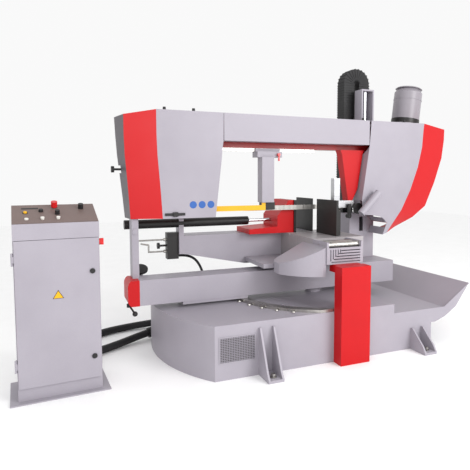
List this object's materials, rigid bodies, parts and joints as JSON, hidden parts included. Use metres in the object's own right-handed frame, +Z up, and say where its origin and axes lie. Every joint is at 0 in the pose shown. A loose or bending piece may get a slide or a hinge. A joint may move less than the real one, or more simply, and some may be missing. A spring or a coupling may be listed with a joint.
{
  "type": "double mitre band saw",
  "caption": "Horizontal column band saw with a swivelling saw bow, hydraulic vise, outfeed rollers, chip tray and a separate sloped control cabinet.",
  "frame": {"origin": "point on the floor under the swivel axis of the saw console", "axes": "+X along the saw bow to the drive wheel, +Y to the back of the machine, +Z up"},
  "size_m": [3.9635, 1.86, 2.5048],
  "materials": {
    "light_paint": "powder coat, light lilac grey, satin",
    "signal_red": "signal red gloss paint",
    "dark_red": "red paint in shade",
    "yellow_paint": "yellow guard paint",
    "panel_paint": "matt brownish panel",
    "machined_steel": "machined and oiled",
    "black_steel": "black oxide and black paint",
    "cast_table": "planed cast iron",
    "wheel_iron": "turned cast iron",
    "chrome": "hard chrome",
    "guide_alloy": "milled alloy",
    "motor_alloy": "grey motor paint over alloy",
    "red_plastic": "moulded red",
    "black_plastic": "moulded black",
    "white_plastic": "moulded pale",
    "black_rubber": "ribbed black sleeve"
  },
  "bodies": {
    "base": {"base_housing": "light_paint", "foot_brackets": "light_paint", "slew_ring": "machined_steel", "table_pedestal": "light_paint", "vise_table": "cast_table", "vise_bed": "light_paint", "vise_cylinder": "black_steel", "valve_block": "black_steel", "vise_hose": "black_rubber", "fixed_jaws": "black_steel", "outfeed_chute": "light_paint", "outfeed_frame": "light_paint", "support_column": "signal_red", "chip_tray": "light_paint", "cabinet_case": "light_paint", "control_panel": "panel_paint", "mounting_plate": "light_paint", "conduit_upper": "black_rubber", "conduit_lower": "black_rubber", "conduit_glands": "black_plastic"},
    "console": {"console_beam": "light_paint", "beam_end_cap": "signal_red", "guide_post": "light_paint", "lift_column": "light_paint", "lift_screw": "chrome", "hose_loop": "black_rubber"},
    "saw_bow": {"bow_frame": "dark_red", "beam_cover": "light_paint", "guide_rail": "machined_steel", "right_guide_arm": "signal_red", "right_guide_block": "guide_alloy", "saw_blade": "machined_steel", "gearbox": "light_paint", "motor": "motor_alloy"},
    "idler": {"idler_wheel": "wheel_iron"},
    "drive": {"drive_wheel": "wheel_iron"},
    "left_door": {"left_cover": "light_paint"},
    "right_door": {"right_cover": "light_paint", "work_lamp": "light_paint"},
    "guide_carrier": {"guide_arm": "light_paint", "left_guide_block": "black_steel", "blade_guard": "yellow_paint"},
    "guide_lever": {"arm_clamp_lever": "red_plastic"},
    "jaw": {"moving_jaw": "signal_red", "moving_jaw_face": "black_steel", "vise_rod": "chrome"},
    "roller_1": {"outfeed_roller_1": "machined_steel"},
    "roller_2": {"outfeed_roller_2": "machined_steel"},
    "crank": {"clamp_crank": "black_plastic"},
    "dial": {"turn_lock_dial": "black_plastic"},
    "tensioner": {"tension_knob": "black_plastic"},
    "door": {"cabinet_door": "light_paint"},
    "lower_lock": {"door_lock_lower": "black_plastic"},
    "upper_lock": {"door_lock_upper": "black_plastic"},
    "isolator": {"main_switch": "red_plastic"},
    "stop_mushroom": {"emergency_stop": "red_plastic"},
    "start_key": {"start_button": "white_plastic"},
    "stop_key": {"stop_button": "white_plastic"},
    "mode_knob": {"mode_selector": "black_plastic"},
    "speed_dial": {"speed_knob": "black_plastic"}
  },
  "joints": [
    {"name": "console_swivel", "type": "hinge", "parent": "base", "child": "console", "pos_m": [0, 0, 0.5], "axis": [0, 0, 1], "range_deg": [0, 60]},
    {"name": "bow_lift", "type": "slide", "parent": "console", "child": "saw_bow", "axis": [0, 0, 1], "range_m": [-0.205, 0.25]},
    {"name": "idler_spin", "type": "hinge", "parent": "saw_bow", "child": "idler", "pos_m": [-1.245, 0, 1.474], "axis": [0, 1, 0], "continuous": true},
    {"name": "drive_spin", "type": "hinge", "parent": "saw_bow", "child": "drive", "pos_m": [0.96, 0, 1.474], "axis": [0, 1, 0], "continuous": true},
    {"name": "left_cover_hinge", "type": "hinge", "parent": "saw_bow", "child": "left_door", "pos_m": [-1.2, 0.138, 1.953], "axis": [-1, 0, 0], "range_deg": [0, 80]},
    {"name": "right_cover_hinge", "type": "hinge", "parent": "saw_bow", "child": "right_door", "pos_m": [0.8, 0.138, 1.953], "axis": [-1, 0, 0], "range_deg": [0, 80]},
    {"name": "guide_arm_slide", "type": "slide", "parent": "saw_bow", "child": "guide_carrier", "axis": [1, 0, 0], "range_m": [0, 0.35]},
    {"name": "guide_lever_turn", "type": "hinge", "parent": "guide_carrier", "child": "guide_lever", "pos_m": [-0.37, -0.04, 1.624], "axis": [0, -1, 0], "range_deg": [0, 60]},
    {"name": "tension_turn", "type": "hinge", "parent": "saw_bow", "child": "tensioner", "pos_m": [-1.6, 0.11, 1.492], "axis": [1, 0, 0], "continuous": true},
    {"name": "jaw_slide", "type": "slide", "parent": "base", "child": "jaw", "axis": [1, 0, 0], "range_m": [-0.2, 0.16]},
    {"name": "roller_1_spin", "type": "hinge", "parent": "base", "child": "roller_1", "pos_m": [-0.075, -0.6, 0.9], "axis": [1, 0, 0], "continuous": true},
    {"name": "roller_2_spin", "type": "hinge", "parent": "base", "child": "roller_2", "pos_m": [-0.075, -0.52, 0.9], "axis": [1, 0, 0], "continuous": true},
    {"name": "crank_turn", "type": "hinge", "parent": "console", "child": "crank", "pos_m": [-1.645, -0.02, 0.43], "axis": [0, 0, 1], "range_deg": [-60, 60]},
    {"name": "turn_lock", "type": "hinge", "parent": "console", "child": "dial", "pos_m": [-1.526, 0.15, 0.679], "axis": [0, -0.4695, 0.8829], "continuous": true},
    {"name": "door_hinge", "type": "hinge", "parent": "base", "child": "door", "pos_m": [-2.4105, -0.52426, 0.56], "axis": [0, 0, -1], "range_deg": [0, 115]},
    {"name": "lower_lock_turn", "type": "hinge", "parent": "door", "child": "lower_lock", "pos_m": [-1.93874, -0.5056, 0.24], "axis": [-0.0628, 0.998, 0], "range_deg": [0, 90]},
    {"name": "upper_lock_turn", "type": "hinge", "parent": "door", "child": "upper_lock", "pos_m": [-1.93874, -0.5056, 0.815], "axis": [-0.0628, 0.998, 0], "range_deg": [0, 90]},
    {"name": "isolator_turn", "type": "hinge", "parent": "base", "child": "isolator", "pos_m": [-1.88562, -0.44214, 1], "axis": [0.998, 0.0628, 0], "range_deg": [0, 90]},
    {"name": "emergency_press", "type": "slide", "parent": "base", "child": "stop_mushroom", "axis": [-0.0218, 0.3466, -0.9378], "range_m": [0, 0.006]},
    {"name": "start_press", "type": "slide", "parent": "base", "child": "start_key", "axis": [-0.0218, 0.3466, -0.9378], "range_m": [0, 0.005], "stiffness_N_per_m": 400, "springref_m": -0.003},
    {"name": "stop_press", "type": "slide", "parent": "base", "child": "stop_key", "axis": [-0.0218, 0.3466, -0.9378], "range_m": [0, 0.005], "stiffness_N_per_m": 400, "springref_m": -0.003},
    {"name": "mode_turn", "type": "hinge", "parent": "base", "child": "mode_knob", "pos_m": [-2.14127, -0.37607, 1.18518], "axis": [0.0218, -0.3466, 0.9378], "range_deg": [-45, 45]},
    {"name": "speed_turn", "type": "hinge", "parent": "base", "child": "speed_dial", "pos_m": [-1.99235, -0.29055, 1.21332], "axis": [0.0218, -0.3466, 0.9378], "range_deg": [-135, 135]}
  ],
  "couplings": [
    {"joint": "idler_spin", "follows": "drive_spin", "ratio": 1}
  ]
}
